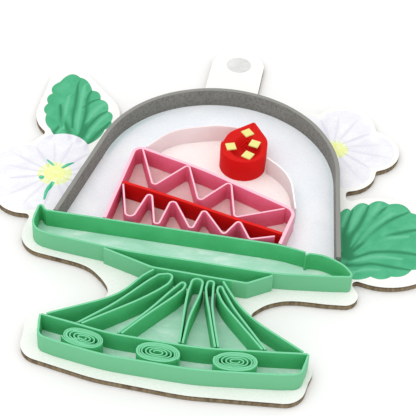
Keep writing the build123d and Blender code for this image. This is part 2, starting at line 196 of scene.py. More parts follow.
def scorched_greyboard():
    """Grey pulp board, cut with a laser.

    To the eye: a rough brown edge, darkest along its upper rim where the beam lingers,
    with faint upright streaks; the faces are dull grey with specks of pulp.
    """
    material, tree, shader = plain_material("scorched_greyboard", 0.9, 0.15)
    place = add(tree, "ShaderNodeTexCoord").outputs["Object"]
    # Streaks of the beam, 0.9 mm apart and drawn out through the thickness
    upright = add(tree, "ShaderNodeMapping", {"Vector": place, "Scale": (1.0, 1.0, 0.2)}).outputs["Vector"]
    streak = add(tree, "ShaderNodeTexNoise", {
        "Vector": upright, "Scale": 1 / (0.9 * MM), "Detail": 5.0,
    }).outputs["Fac"]
    height = add(tree, "ShaderNodeSeparateXYZ", {"Vector": place}).outputs["Z"]
    rim = add(tree, "ShaderNodeMapRange", {
        "Value": height, "From Min": 0.55 * PRINT_TOP * MM, "From Max": PRINT_TOP * MM, "To Max": 0.35,
    }, interpolation_type="SMOOTHSTEP").outputs["Result"]
    burn = add(tree, "ShaderNodeMath", {0: streak, 1: rim}, operation="SUBTRACT").outputs["Value"]
    scorched = add(tree, "ShaderNodeValToRGB", {"Fac": burn}, [
        (0.1, "#4E402F"), (0.3, "#665744"), (0.5, "#817159"), (0.75, "#95866D"),
    ]).outputs["Color"]
    pulp = add(tree, "ShaderNodeTexNoise", {"Vector": place, "Scale": 1 / (1.2 * MM), "Detail": 5.0}).outputs["Fac"]
    bare = add(tree, "ShaderNodeValToRGB", {"Fac": pulp}, [(0.3, "#A39A8B"), (0.7, "#B8AFA1")]).outputs["Color"]
    normal = add(tree, "ShaderNodeNewGeometry").outputs["Normal"]
    facing = add(tree, "ShaderNodeSeparateXYZ", {"Vector": normal}).outputs["Z"]
    flat = add(tree, "ShaderNodeMath", {0: facing}, operation="ABSOLUTE").outputs["Value"]
    face = add(tree, "ShaderNodeMapRange", {"Value": flat, "From Min": 0.4, "From Max": 0.8}).outputs["Result"]
    colour = add(tree, "ShaderNodeMix", {0: face, 6: scorched, 7: bare}, data_type="RGBA").outputs[2]
    bump = add(tree, "ShaderNodeBump", {"Height": streak, "Distance": 0.06 * MM, "Strength": 0.6}).outputs["Normal"]
    tree.links.new(colour, shader.inputs["Base Color"])
    tree.links.new(bump, shader.inputs["Normal"])
    return material


# Cards: name, wall, its deeper clouds, slit edge painted paler as a painted highlight, and flecks; the green and
# pink cards also give their open sides a paler painted lit side
green_card = dyed_card_with_painted_light("dyed_green_card_with_painted_light", "#50BE7D", "#47B574", "#76CA9B", "#66C68F", painted_lit_side="#6EBC8D")
grey_card = dyed_card_with_painted_light("dyed_grey_card_with_painted_light", "#82827C", "#787872", "#8A8A84", "#55544E", 0.9, fibre=0.6)
pink_card = dyed_card_with_painted_light("dyed_pink_card_with_painted_light", "#E86D8D", "#E06383", "#F8BFD0", "#EE88A2", painted_lit_side="#ECA4B6")
red_card = dyed_card_with_painted_light("dyed_red_card_with_painted_light", "#BE0606", "#B20404", "#DA1E1A", "#C61C18", gloss=0.15)
scarlet_card = dyed_card_with_painted_light("dyed_scarlet_card_with_painted_light", "#D60808", "#CC0606", "#D61814", "#DA2420", gloss=0.15)
# The cake's two cream strips are one white card in two copies: this one is painted lighter and less pink for the
# left strip, against the shade and pink light thrown on it, and the next is painted darker for the right strip,
# which gets more light
lighter_painted_white_card = dyed_card_with_painted_light("white_card_painted_lighter", "#F0E8E8", "#ECE2E3", "#F2E6E8", "#F4EEEE")
white_card = dyed_card_with_painted_light("white_card_painted_darker", "#E2DDDC", "#DED7D7", "#FFFBFB", "#E8E3E3")
yellow_card = dyed_card_with_painted_light("dyed_yellow_card_with_painted_light", "#E0DB84", "#D6D070", "#E4DF8A", "#EAE7A6", 0.5)

# Papers and washes: name, colours of the pools, their size in millimetres, and a stroke's deep and pale colours
printed_white = watercolour("matt_white_paper", [(0.3, "#F6F6F2"), (0.7, "#F3F3EF")], 12.0, "#E6E8E6", "#FFFFFF")
mint_wash = watercolour("mint_watercolour", [
    (0.3, "#A8DFC6"), (0.46, "#B8E5D1"), (0.58, "#CDEEE0"), (0.66, "#E4F6EE"), (0.74, "#BFE8D6"),
], 5.0, "#8FD0B2", "#EAF8F2", (0.45, 1.0, 1.0))
dome_wash = watercolour("pale_blue_watercolour", [
    (0.35, "#EDF1F6"), (0.5, "#F0F4F8"), (0.65, "#F5F7FA"),
], 14.0, "#BFE2E1", "#E4E0EA")
cake_wash = watercolour("dusky_pink_watercolour", [
    (0.3, "#E4C2C2"), (0.5, "#EACCCB"), (0.7, "#F0DAD8"),
], 6.0, "#D9A9AC", "#F6E6E4")
cream_wash = watercolour("cream_watercolour", [
    (0.3, "#FBF4F1"), (0.5, "#FDF8F5"), (0.7, "#FEFBF9"),
], 9.0, "#F0D8D6", "#FFFFFF")
petal_wash = watercolour("lilac_white_watercolour", [
    (0.3, "#E6E6ED"), (0.5, "#ECECF1"), (0.65, "#F2F2F5"),
], 5.0, "#DEDCE7", "#F6F6EE")
leaf_wash = watercolour("leaf_green_watercolour", [
    (0.3, "#47A879"), (0.5, "#4FB082"), (0.7, "#59B88B"),
], 4.0, "#33885D", "#68C096")
heart_wash = watercolour("lemon_watercolour", [
    (0.35, "#EDF29A"), (0.5, "#F0F4A6"), (0.65, "#F4F7C0"),
], 1.2, "#E6EE84", "#F8FAE0")
fleck_wash = watercolour("yellow_green_watercolour", [
    (0.35, "#E8F0B0"), (0.5, "#EEF4C4"), (0.65, "#F4F6E0"),
], 0.8, "#DCE88A", "#FAFAF0")
teal_wash = watercolour("teal_watercolour", [
    (0.3, "#58C08E"), (0.5, "#6CCBA2"), (0.7, "#8CD6B8"),
], 1.2, "#2FAE86", "#B8E6D6")
grey_wash = watercolour("pale_grey_watercolour", [
    (0.3, "#D2D2D0"), (0.5, "#DADAD8"), (0.7, "#E2E2E0"),
], 3.0, "#C0C0BE", "#F6F6F4")
greyboard = scorched_greyboard()


# Outlines and lines of the CAD pieces


def top_outline(node):
    """Plan points in order round a CAD node's highest flat face, and its lowest and highest level."""
    shape = bmesh.new()
    shape.from_mesh(node.data)
    bmesh.ops.remove_doubles(shape, verts=shape.verts, dist=0.001 * MM)
    low = min(v.co.z for v in shape.verts)
    high = max(v.co.z for v in shape.verts)
    ahead = {}
    for face in shape.faces:
        if face.normal.z < LOOKS_UP or face.calc_center_median().z < high - 0.01 * MM:
            continue
        for loop in face.loops:
            if loop.link_loop_radial_next.face.normal.z < LOOKS_UP:
                ahead[loop.vert.index] = (loop.link_loop_next.vert.index, loop.vert.co.xy / MM)
    first = next(iter(ahead))
    points = []
    here = first
    while True:
        here, place = ahead[here]
        if not points or (place - points[-1]).length > SAME_OUTLINE_POINT:
            points.append(place.copy())
        if here == first:
            break
    shape.free()
    twice_area = sum(points[k - 1].x * p.y - p.x * points[k - 1].y for k, p in enumerate(points))
    if twice_area < 0:
        points.reverse()
    return points, low / MM, high / MM


def eased(points, closed):
    """The same line with more points, the chords of its arcs turned back into arcs."""
    count = len(points)
    runs = [points[(k + 1) % count] - points[k] for k in range(count if closed else count - 1)]
    tangents = []
    for k in range(count):
        if not closed and k in (0, count - 1):
            run = runs[0 if k == 0 else -1].normalized()
            tangents.append((run, run))
            continue
        before, after = runs[k - 1], runs[k % len(runs)]
        if abs(before.angle_signed(after)) > CORNER_TURN:
            tangents.append((before.normalized(), after.normalized()))
            continue
        if before.length > STRAIGHT_RATIO * after.length:
            tangent = before.normalized()
        elif after.length > STRAIGHT_RATIO * before.length:
            tangent = after.normalized()
        else:
            tangent = (before.normalized() * after.length + after.normalized() * before.length).normalized()
        tangents.append((tangent, tangent))
    out = []
    for k, run in enumerate(runs):
        a, b = points[k], points[(k + 1) % count]
        leave, arrive = tangents[k][1], tangents[(k + 1) % count][0]
        turn = leave.angle(run) + run.angle(arrive)
        steps = max(ceil(turn / TURN_STEP), ceil(run.length / LONGEST_STEP))
        for t in (step / steps for step in range(steps)):
            from_a, from_b = 2 * t ** 3 - 3 * t ** 2 + 1, 3 * t ** 2 - 2 * t ** 3
            bend = leave * (t ** 3 - 2 * t ** 2 + t) + arrive * (t ** 3 - t ** 2)
            out.append(a * from_a + b * from_b + bend * run.length)
    return out if closed else [*out, points[-1]]


def strip_line(node, card):
    """Middle line of a strip of card, from the outline of its CAD node."""
    outline = top_outline(node)[0]
    count = len(outline)
    runs = [outline[(k + 1) % count] - outline[k] for k in range(count)]
    turns = [runs[k - 1].angle_signed(runs[k]) for k in range(count)]
    ends = [
        k for k in range(count)
        if abs(runs[k].length - card) < END_TOLERANCE * card
        and min(abs(turns[k]), abs(turns[(k + 1) % count])) > END_TURN
        and turns[k] * turns[(k + 1) % count] > 0
    ]
    first, last = sorted(ends, key=lambda k: abs(runs[k].length - card))[:2]
    one_side = [outline[(first + 1 + k) % count] for k in range((last - first - 1) % count + 1)]
    other_side = [outline[(last + 1 + k) % count] for k in range((first - last - 1) % count + 1)]
    other_side.reverse()
    if len(other_side) > len(one_side):
        one_side, other_side = other_side, one_side
    middle = [(one_side[0] + other_side[0]) / 2]
    for point in one_side[1:-1]:
        nearest = None
        for a, b in zip(other_side, other_side[1:]):
            foot, share = intersect_point_line(point, a, b)
            foot = a + (b - a) * min(1.0, max(0.0, share))
            if nearest is None or (foot - point).length < (nearest - point).length:
                nearest = foot
        place = (point + nearest) / 2
        if (place - middle[-1]).length > SAME_LINE_POINT:
            middle.append(place)
    middle.append((one_side[-1] + other_side[-1]) / 2)
    return eased(middle, False)


def relaxed(line, reach=0.2, step=0.5, passes=30):
    """The same line bending as card does, without chords; no point moves further than a small reach."""
    even = [line[0]]
    for point in line[1:]:
        while (point - even[-1]).length > step:
            even.append(even[-1] + (point - even[-1]).normalized() * step)
    even[-1] = line[-1]
    soft = list(even)
    for _ in range(passes):
        soft = [soft[0]] + [b + ((a + c) / 2 - b) / 2 for a, b, c in zip(soft, soft[1:], soft[2:])] + [soft[-1]]
    out = []
    for place, moved in zip(even, soft):
        shift = moved - place
        out.append(place + shift * min(1.0, reach / max(shift.length, 1e-9)))
    return out


def lengthened(line, extra):
    """The line carried straight on a little at both ends."""
    first = line[0] + (line[0] - line[1]).normalized() * extra
    last = line[-1] + (line[-1] - line[-2]).normalized() * extra
    return [first, *line, last]


def loosened(line, tight_turns, loose_turns, eye):
    """A roll's tight outer turns as in the CAD, then looser turns of the same shape down to a small eye."""
    centre = sum(line, Vector((0, 0))) / len(line)
    if (line[0] - centre).length < (line[-1] - centre).length:
        line = line[::-1]
    turned, last = 0.0, 0
    loop_start = 0
    for k in range(1, len(line)):
        turned += abs((line[k - 1] - centre).angle_signed(line[k] - centre))
        if turned < 2 * pi * (tight_turns - 1):
            loop_start = k
        if turned > 2 * pi * tight_turns:
            break
        last = k
    turn = [p - centre for p in line[loop_start:last]]
    # One turn runs inward by its card, so each point is moved out by its share of that, which closes the turn
    step = turn[0].length / turn[-1].length
    out = list(line[:last])
    count = int(len(turn) * loose_turns)
    for k in range(1, count):
        around = k % len(turn)
        share = (1 - k / count) / step + eye * k / count
        out.append(centre + turn[around] * share * (1 + (step - 1) * around / len(turn)))
    return out


def inside(point, loop):
    """Whether a plan point lies inside a closed loop."""
    hit = False
    for k, b in enumerate(loop):
        a = loop[k - 1]
        if (a.y > point.y) != (b.y > point.y):
            if point.x < a.x + (b.x - a.x) * (point.y - a.y) / (b.y - a.y):
                hit = not hit
    return hit


def thinned(line, gap=1.2):
    """Fewer points of a line, its ends kept."""
    out = [line[0]]
    for point in line[1:-1]:
        if (point - out[-1]).length > gap:
            out.append(point)
    return [*out, line[-1]]


def joined(*parts):
    """One closed loop out of lines, each run in the direction in which its nearer end comes first."""
    parts = [thinned(part) for part in parts]
    out = parts[0]
    if len(parts) > 1:
        next_ends = (parts[1][0], parts[1][-1])
        if min((out[0] - p).length for p in next_ends) < min((out[-1] - p).length for p in next_ends):
            out.reverse()
    for part in parts[1:]:
        if (part[-1] - out[-1]).length < (part[0] - out[-1]).length:
            part.reverse()
        out = out + [
            p for p in part
            if (p - out[-1]).length > SAME_MEETING_POINT and (p - out[0]).length > SAME_MEETING_POINT
        ]
    return out


# Pieces


def finish_piece(piece, replaced):
    """Say what the piece rides on and hide the CAD node that it stands for."""
    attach(piece, "root")
    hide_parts(replaced)


def mesh_piece(name, shape, materials, replaced):
    """Turn a built shape in millimetres into a piece that stands for a CAD node."""
    for vert in shape.verts:
        vert.co *= MM
    mesh = bpy.data.meshes.new(name)
    shape.to_mesh(mesh)
    shape.free()
    for material in materials:
        mesh.materials.append(material)
    mesh.shade_smooth()
    mesh.set_sharp_from_angle(angle=SHARP_EDGE)
    piece = bpy.data.objects.new(name, mesh)
    bpy.context.scene.collection.objects.link(piece)
    finish_piece(piece, replaced)


def card_on_edge():
    """Tree that stands a strip of card on edge along a line, its top straying a little."""
    tree = bpy.data.node_groups.new("card_on_edge", "GeometryNodeTree")
    for socket, kind in (
        ("Line", "NodeSocketGeometry"), ("Card", "NodeSocketFloat"), ("Strip width", "NodeSocketFloat"),
        ("Edge", "NodeSocketFloat"), ("Level", "NodeSocketFloat"), ("Side waver", "NodeSocketFloat"),
        ("Height waver", "NodeSocketFloat"), ("Waver length", "NodeSocketFloat"), ("Seed", "NodeSocketFloat"),
        ("Material", "NodeSocketMaterial"),
    ):
        tree.interface.new_socket(name=socket, in_out="INPUT", socket_type=kind)
    tree.interface.new_socket(name="Strip", in_out="OUTPUT", socket_type="NodeSocketGeometry")
    given = add(tree, "NodeGroupInput").outputs
    line = add(tree, "GeometryNodeMeshToCurve", {"Mesh": given["Line"]}).outputs["Curve"]
    upright = add(tree, "GeometryNodeSetCurveNormal", {"Curve": line}, mode="Z_UP").outputs["Curve"]
    section = add(tree, "GeometryNodeCurvePrimitiveQuadrilateral", {
        "Width": given["Card"], "Height": given["Strip width"],
    }).outputs["Curve"]
    rounded = add(tree, "GeometryNodeFilletCurve", {
        "Curve": section, "Radius": given["Edge"], "Count": 2,
    }, mode="POLY").outputs["Curve"]
    swept = add(tree, "GeometryNodeCurveToMesh", {
        "Curve": upright, "Profile Curve": rounded, "Fill Caps": True,
    }).outputs["Mesh"]
    # The sweep is centred on the line; its upper half is what strays
    position = add(tree, "GeometryNodeInputPosition").outputs["Position"]
    height = add(tree, "ShaderNodeSeparateXYZ", {"Vector": position}).outputs["Z"]
    upper = add(tree, "FunctionNodeCompare", {"A": height, "B": 0.0}, operation="GREATER_THAN").outputs["Result"]
    frequency = add(tree, "ShaderNodeMath", {0: 1.0, 1: given["Waver length"]}, operation="DIVIDE").outputs["Value"]
    drift = add(tree, "ShaderNodeTexNoise", {
        "Vector": position, "W": given["Seed"], "Scale": frequency, "Detail": 1.0,
    }, noise_dimensions="4D").outputs["Color"]
    centred = add(tree, "ShaderNodeVectorMath", {0: drift, 1: WAVER_MIDDLE}, operation="SUBTRACT").outputs["Vector"]
    reach = add(tree, "ShaderNodeCombineXYZ", {
        "X": given["Side waver"], "Y": given["Side waver"], "Z": given["Height waver"],
    }).outputs["Vector"]
    strayed = add(tree, "ShaderNodeVectorMath", {0: centred, 1: reach}, operation="MULTIPLY").outputs["Vector"]
    wavy = add(tree, "GeometryNodeSetPosition", {
        "Geometry": swept, "Selection": upper, "Offset": strayed,
    }).outputs["Geometry"]
    half = add(tree, "ShaderNodeMath", {0: given["Strip width"], 1: 0.5}, operation="MULTIPLY").outputs["Value"]
    middle = add(tree, "ShaderNodeMath", {0: given["Level"], 1: half}, operation="ADD").outputs["Value"]
    lift = add(tree, "ShaderNodeCombineXYZ", {"Z": middle}).outputs["Vector"]
    standing = add(tree, "GeometryNodeTransform", {"Geometry": wavy, "Translation": lift}).outputs["Geometry"]
    real = add(tree, "GeometryNodeRealizeInstances", {"Geometry": standing}).outputs["Geometry"]
    dressed = add(tree, "GeometryNodeSetMaterial", {
        "Geometry": real, "Material": given["Material"],
    }).outputs["Geometry"]
    add(tree, "NodeGroupOutput", {"Strip": dressed})
    return tree


def pressed_roll():
    """Tree that presses a dish into the top of a standing roll."""
    tree = bpy.data.node_groups.new("pressed_roll", "GeometryNodeTree")
    for socket, kind in (
        ("Roll", "NodeSocketGeometry"), ("Centre", "NodeSocketVector"), ("Rim radius", "NodeSocketFloat"),
        ("Floor radius", "NodeSocketFloat"), ("Depth", "NodeSocketFloat"), ("Above", "NodeSocketFloat"),
        ("Material", "NodeSocketMaterial"),
    ):
        tree.interface.new_socket(name=socket, in_out="INPUT", socket_type=kind)
    tree.interface.new_socket(name="Pressed", in_out="OUTPUT", socket_type="NodeSocketGeometry")
    given = add(tree, "NodeGroupInput").outputs
    position = add(tree, "GeometryNodeInputPosition").outputs["Position"]
    height = add(tree, "ShaderNodeSeparateXYZ", {"Vector": position}).outputs["Z"]
    upper = add(tree, "FunctionNodeCompare", {
        "A": height, "B": given["Above"],
    }, operation="GREATER_THAN").outputs["Result"]
    from_centre = add(tree, "ShaderNodeVectorMath", {
        0: position, 1: given["Centre"],
    }, operation="SUBTRACT").outputs["Vector"]
    flat = add(tree, "ShaderNodeVectorMath", {
        0: from_centre, 1: (1.0, 1.0, 0.0),
    }, operation="MULTIPLY").outputs["Vector"]
    distance = add(tree, "ShaderNodeVectorMath", {0: flat}, operation="LENGTH").outputs["Value"]
    sunk = add(tree, "ShaderNodeMapRange", {
        "Value": distance, "From Min": given["Rim radius"], "From Max": given["Floor radius"],
        "To Max": given["Depth"],
    }, interpolation_type="SMOOTHSTEP").outputs["Result"]
    down = add(tree, "ShaderNodeMath", {0: sunk, 1: -1.0}, operation="MULTIPLY").outputs["Value"]
    offset = add(tree, "ShaderNodeCombineXYZ", {"Z": down}).outputs["Vector"]
    pressed = add(tree, "GeometryNodeSetPosition", {
        "Geometry": given["Roll"], "Selection": upper, "Offset": offset,
    }).outputs["Geometry"]
    real = add(tree, "GeometryNodeRealizeInstances", {"Geometry": pressed}).outputs["Geometry"]
    dressed = add(tree, "GeometryNodeSetMaterial", {
        "Geometry": real, "Material": given["Material"],
    }).outputs["Geometry"]
    add(tree, "NodeGroupOutput", {"Pressed": dressed})
    return tree


def card_piece(name, line, stages, replaced):
    """Run trees with their named inputs on a line and keep the result as a plain mesh."""
    mesh = bpy.data.meshes.new(name)
    mesh.from_pydata([(p.x * MM, p.y * MM, 0.0) for p in line], [(k, k + 1) for k in range(len(line) - 1)], [])
    piece = bpy.data.objects.new(name, mesh)
    bpy.context.scene.collection.objects.link(piece)
    for tree, values in stages:
        modifier = piece.modifiers.new(tree.name, "NODES")
        modifier.node_group = tree
        for item in tree.interface.items_tree:
            if item.name in values:
                modifier[item.identifier] = values[item.name]
    evaluated = piece.evaluated_get(bpy.context.evaluated_depsgraph_get())
    made = bpy.data.meshes.new_from_object(evaluated)
    piece.modifiers.clear()
    piece.data = made
    shape = bmesh.new()
    shape.from_mesh(made)
    bmesh.ops.recalc_face_normals(shape, faces=shape.faces)
    shape.to_mesh(made)
    shape.free()
    made.shade_smooth()
    made.set_sharp_from_angle(angle=SHARP_EDGE)
    finish_piece(piece, replaced)
    return piece


# How far in front of a face another shape is looked for
OUTWARD_REACHES = (0.9, 2.6)


def mark_painted_lit_sides(piece, line, loop, cover=(), ends=0.0):
    """Mark a strip's faces that look out of a loop, except behind a covering loop or near the strip's ends; the card
    paints these faces paler, a painted haze of the light from the white sheet in front of them.
    """
    marks = piece.data.attributes.new("painted_lit_side", "FLOAT", "FACE")
    for face, mark in zip(piece.data.polygons, marks.data):
        place = face.center.xy / MM
        ahead = [place + face.normal.xy * reach for reach in OUTWARD_REACHES]
        near_end = min((place - line[0]).length, (place - line[-1]).length) < ends
        covered = inside(ahead[0], cover) or inside(ahead[1], cover)
        mark.value = float(not inside(ahead[0], loop) and not covered and not near_end)


strip_tree = card_on_edge()
roll_tree = pressed_roll()


def strip_values(card, material, seed, width=STRIP_WIDTH, edge=CARD_EDGE):
    """Inputs of the strip tree, in metres."""
    return {
        "Card": card * MM, "Strip width": width * MM, "Edge": edge * MM, "Level": PRINT_TOP * MM,
        "Side waver": SIDE_WAVER * MM, "Height waver": HEIGHT_WAVER * MM, "Waver length": WAVER_LENGTH * MM,
        "Seed": seed, "Material": material,
    }


# Thickness from which a strip is double and its edge rounder, and the step between the strips' noise seeds
THICK_CARD = 0.6
SEED_STEP = 1.7
# How far a strip is carried on at both ends, so that its seams close
SEAM_REACH = 0.45
# Oval rolls: turns as tight as the CAD's, looser turns inside them, and the eye as a share of a turn
OVAL_TIGHT_TURNS = 3.2
OVAL_LOOSE_TURNS = 3.4
OVAL_EYE = 0.17

# Piece, CAD node, card thickness, material, finish slot
strips = [
    ("dome", "dome_strip", 1.1, grey_card, "grey_card"),
    ("plate_rim", "plate_rim_strip", 0.5, green_card, "green_card"),
    ("plate_bowl", "plate_bowl_strip", 0.5, green_card, "green_card"),
    ("collar", "collar_strip", 0.5, green_card, "green_card"),
    ("foot_left", "foot_left_strip", 0.5, green_card, "green_card"),
    ("foot_right", "foot_right_strip", 0.5, green_card, "green_card"),
    ("foot_base", "foot_base_strip", 0.5, green_card, "green_card"),
    ("foot_bottom", "foot_bottom_strip", 0.5, green_card, "green_card"),
    ("cake_outline", "cake_outline_strip", 0.85, pink_card, "pink_card"),
    ("jam", "jam_strip", 0.85, red_card, "red_card"),
    ("zigzag_above", "zigzag_upper", 0.45, pink_card, "pink_card"),
    ("zigzag_below", "zigzag_lower", 0.45, pink_card, "pink_card"),
    # The two cream strips are one white card, painted lighter on the left and darker on the right to offset the
    # light each gets
    ("cream_left", "cream_left_strip", 0.4, lighter_painted_white_card, "white_card"),
    ("cream_right", "cream_right_strip", 0.4, white_card, "white_card"),
]
strips += [(f"fold_{k}", f"foot_loop_{k}", 0.5, green_card, "green_card") for k in range(1, 6)]
strips += [(f"oval_{k}", f"foot_coil_{k}", 0.32, green_card, "green_card") for k in range(1, 4)]
lines = {}
cards = {}
for seed, (name, node_name, card, material, slot) in enumerate(strips):
    lines[name] = strip_line(nodes[node_name], card)
    if name.startswith("fo") or name == "plate_bowl":
        lines[name] = relaxed(lines[name])
    if name in ("plate_rim", "foot_base", "zigzag_above"):
        lines[name] = lengthened(lines[name], SEAM_REACH)
    if name.startswith("oval"):
        lines[name] = loosened(lines[name], OVAL_TIGHT_TURNS, OVAL_LOOSE_TURNS, OVAL_EYE)
    edge = THICK_CARD_EDGE if card > THICK_CARD else CARD_EDGE
    values = strip_values(card, material, seed * SEED_STEP, edge=edge)
    cards[name] = card_piece(f"card_{name}", lines[name], [(strip_tree, values)], node_name)

plate_loop = joined(lines["plate_bowl"], lines["plate_rim"])
collar_loop = joined(lines["collar"])
band_loop = joined(lines["foot_bottom"], lines["foot_base"])
foot_loop = joined(lines["foot_left"], lines["foot_base"], lines["foot_right"])
cake_loop = joined(lines["cake_outline"])
# Faces of the outer strips that look out of their shapes take the card's painted lit side
# The bowl's last 1.2 mm at both ends lies folded into the rim
mark_painted_lit_sides(cards["plate_bowl"], lines["plate_bowl"], plate_loop, cover=collar_loop, ends=1.2)
mark_painted_lit_sides(cards["collar"], lines["collar"], collar_loop, cover=foot_loop)
mark_painted_lit_sides(cards["foot_bottom"], lines["foot_bottom"], band_loop)
mark_painted_lit_sides(cards["foot_left"], lines["foot_left"], foot_loop)
mark_painted_lit_sides(cards["foot_right"], lines["foot_right"], foot_loop)
mark_painted_lit_sides(cards["cake_outline"], lines["cake_outline"], cake_loop)


# Strawberry: a finer strip rolled round and round into a pointed drop

BERRY_CENTRE = Vector((3.845, 14.276))
BERRY_TOWARD = Vector((cos(radians(84.2)), sin(radians(84.2))))
BERRY_RADIUS = 5.9
BERRY_SHOULDER = 2.1
BERRY_SHOULDER_RADIUS = 5.6
BERRY_LENGTH = 10.45
BERRY_TIP_RADIUS = 0.42
BERRY_CARD = 0.27
BERRY_PITCH = 0.29
BERRY_HEIGHT = 6.3
BERRY_EDGE = 0.05
BERRY_SIDE_WAVER = 0.05
BERRY_HEIGHT_WAVER = 0.1
BERRY_SEED = 50.0
BERRY_START = radians(170)
BERRY_CORE_RADIUS = 0.4
BERRY_POINTS_PER_TURN = 60
BERRY_LONGEST_STEP = 0.7
# Below this radius a turn has no shoulder, and below the second its shoulder moves in to the centre
BERRY_LEAST_SHOULDER = 0.2
BERRY_SHRINKING_SHOULDER = 2.5
DISH_CENTRE = Vector((4.3, 13.9))
DISH_RIM_RADIUS = 4.3
DISH_FLOOR_RADIUS = 2.0
DISH_DEPTH = 2.3


def drop_outline_point(out, inset):
    """Point of a turn of the roll where it faces a direction, a given way in from the outermost turn."""
    body = BERRY_RADIUS - BERRY_CARD / 2 - inset
    shoulder = BERRY_SHOULDER_RADIUS - BERRY_CARD / 2 - inset
    first_shoulder = BERRY_SHOULDER_RADIUS - BERRY_CARD / 2
    reach = BERRY_LENGTH - BERRY_CARD / 2 - BERRY_TIP_RADIUS - BERRY_SHOULDER
    best = BERRY_CENTRE + out * body
    if shoulder > BERRY_LEAST_SHOULDER:
        along = BERRY_SHOULDER * min(1.0, shoulder / BERRY_SHRINKING_SHOULDER)
        rounds = [(BERRY_CENTRE + BERRY_TOWARD * along, shoulder)]
        if shoulder > BERRY_TIP_RADIUS:
            share = (shoulder - BERRY_TIP_RADIUS) / (first_shoulder - BERRY_TIP_RADIUS)
            rounds.append((BERRY_CENTRE + BERRY_TOWARD * (along + reach * share), BERRY_TIP_RADIUS))
        for centre, radius in rounds:
            place = centre + out * radius
            if place.dot(out) > best.dot(out):
                best = place
    return best


def berry_line():
    """Line of the roll from its outer end to its core."""
    turns = (BERRY_RADIUS - BERRY_CORE_RADIUS) / BERRY_PITCH
    points = []
    for k in range(int(turns * BERRY_POINTS_PER_TURN)):
        angle = BERRY_START + 2 * pi * k / BERRY_POINTS_PER_TURN
        place = drop_outline_point(Vector((cos(angle), sin(angle))), BERRY_PITCH * k / BERRY_POINTS_PER_TURN)
        if points:
            gap = place - points[-1]
            steps = ceil(gap.length / BERRY_LONGEST_STEP)
            points += [points[-1] + gap * (step / steps) for step in range(1, steps)]
        points.append(place)
    return points


berry_values = strip_values(BERRY_CARD, scarlet_card, BERRY_SEED, BERRY_HEIGHT, BERRY_EDGE)
berry_values["Side waver"] = BERRY_SIDE_WAVER * MM
berry_values["Height waver"] = BERRY_HEIGHT_WAVER * MM
dish_values = {
    "Centre": (DISH_CENTRE.x * MM, DISH_CENTRE.y * MM, 0.0), "Rim radius": DISH_RIM_RADIUS * MM,
    "Floor radius": DISH_FLOOR_RADIUS * MM, "Depth": DISH_DEPTH * MM,
    "Above": (PRINT_TOP + BERRY_HEIGHT / 2) * MM, "Material": scarlet_card,
}
berry_stages = [(strip_tree, berry_values), (roll_tree, dish_values)]
card_piece("strawberry", berry_line(), berry_stages, "strawberry_coil")


# Board, seeds and print


# A corner whose sides nearly fold back is taken square, and no corner's vector is longer than 1 / LEAST_CORNER
FOLDED_BACK = 0.35
LEAST_CORNER = 0.5


def inward(points):
    """Unit vector into a counter-clockwise loop at each of its points, longer at a corner."""
    out = []
    for k, point in enumerate(points):
        before = (point - points[k - 1]).normalized()
        after = (points[(k + 1) % len(points)] - point).normalized()
        square = Vector((-after.y, after.x))
        middle = Vector((-before.y - after.y, before.x + after.x))
        if middle.length < FOLDED_BACK:
            out.append(square)
            continue
        middle.normalize()
        out.append(middle / max(LEAST_CORNER, middle.dot(square)))
    return out


def cut_sheet(outline, sections):
    """Closed shape from a plan outline through sections, each an inset and a level, from the lowest up."""
    into = inward(outline)
    shape = bmesh.new()
    rings = []
    for inset, level in sections:
        rings.append([shape.verts.new((*(p + side * inset), level)) for p, side in zip(outline, into)])
    for lower, upper in zip(rings, rings[1:]):
        for k in range(len(outline)):
            j = (k + 1) % len(outline)
            shape.faces.new((lower[k], lower[j], upper[j], upper[k]))
    shape.faces.new(rings[-1])
    shape.faces.new(list(reversed(rings[0])))
    return shape


# The seeds' upper edge is rounded by the punch: how far in, and how far below the top
PUNCHED_EDGE = ((0.0, 0.07), (0.02, 0.02), (0.08, 0.0))

for number in range(1, 5):
    outline, low, high = top_outline(nodes[f"seed_{number}"])
    edge = [(inset, high - below) for inset, below in PUNCHED_EDGE]
    square = cut_sheet(eased(outline, True), [(0.0, low), *edge])
    mesh_piece(f"strawberry_seed_{number}", square, [yellow_card], f"seed_{number}")

# The board's notches beside the foot's neck, which reach 5 mm further in than those of the CAD node
left_notch = [
    (-31.8, -27.6), (-28.6, -28.1), (-25.5, -29.2), (-23.2, -30.9), (-21.3, -32.8), (-20.1, -34.5),
    (-19.7, -36.0), (-19.9, -37.5), (-21.0, -38.8), (-22.9, -39.8), (-25.6, -41.0), (-28.4, -42.2),
]
right_notch = [
    (22.9, -44.2), (21.3, -42.9), (18.9, -41.3), (16.4, -39.7), (14.6, -38.2), (13.7, -36.9), (13.8, -35.7),
    (14.8, -34.1), (16.3, -32.5), (18.4, -31.1), (21.0, -30.0), (23.6, -29.5), (26.2, -29.3), (30.1, -29.1),
]


def recut(points, path):
    """Outline with the stretch between the ends of a path replaced by the path."""
    path = [Vector(p) for p in path]
    first = min(range(len(points)), key=lambda k: (points[k] - path[0]).length)
    last = min(range(len(points)), key=lambda k: (points[k] - path[-1]).length)
    kept = [points[(last + 1 + k) % len(points)] for k in range((first - last - 1) % len(points))]
    return path + kept


board_outline, board_low, board_high = top_outline(nodes["backing_board"])
board_outline = recut(recut(board_outline, left_notch), right_notch)
board_outline = eased(board_outline, True)
board_box = [Vector(corner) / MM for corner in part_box("backing_board")]
for point in board_outline:
    point.x = min(board_box[1].x, max(board_box[0].x, point.x))
    point.y = min(board_box[1].y, max(board_box[0].y, point.y))
board = cut_sheet(board_outline, [(0.0, board_low), (0.0, 0.5 * board_high), (0.0, board_high)])
mesh_piece("board", board, [greyboard], "backing_board")


